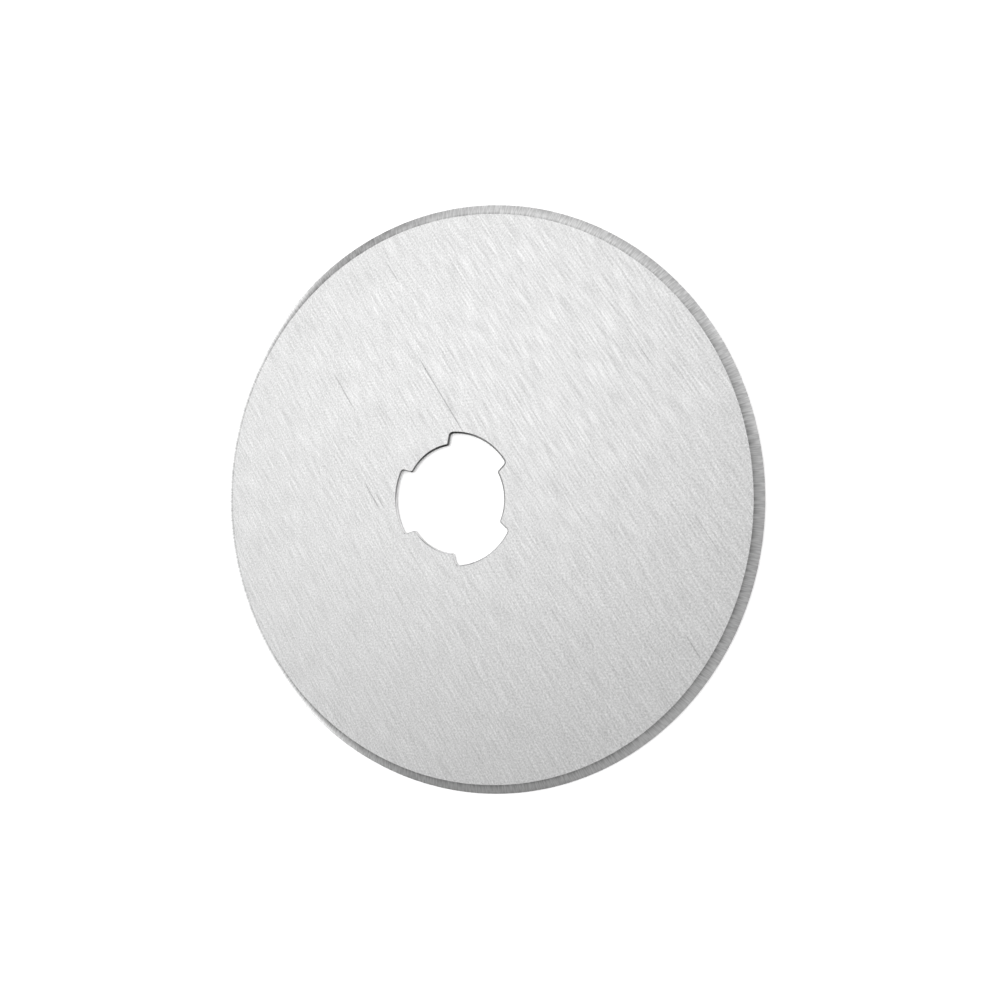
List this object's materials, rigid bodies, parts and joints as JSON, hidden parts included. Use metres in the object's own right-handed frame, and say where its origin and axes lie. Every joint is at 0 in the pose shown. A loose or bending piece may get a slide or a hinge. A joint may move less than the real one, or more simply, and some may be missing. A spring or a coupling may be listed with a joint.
{
  "type": "rotary cutter blade",
  "caption": "Thin round steel blade with a double-ground cutting rim and a lobed drive hole through its centre, for a hand-held rotary cutter.",
  "frame": {"origin": "on the blade's axis, in the plane of its back face, the face it lies on", "axes": "+Z along the axis, out of the front face; +Y through the middle of one lobe of the hole"},
  "size_m": [0.045, 0.045, 0.0003],
  "materials": {
    "blade_steel": "straight-brushed faces, finely ground bevels"
  },
  "bodies": {
    "root": {"blade": "blade_steel"}
  },
  "joints": []
}
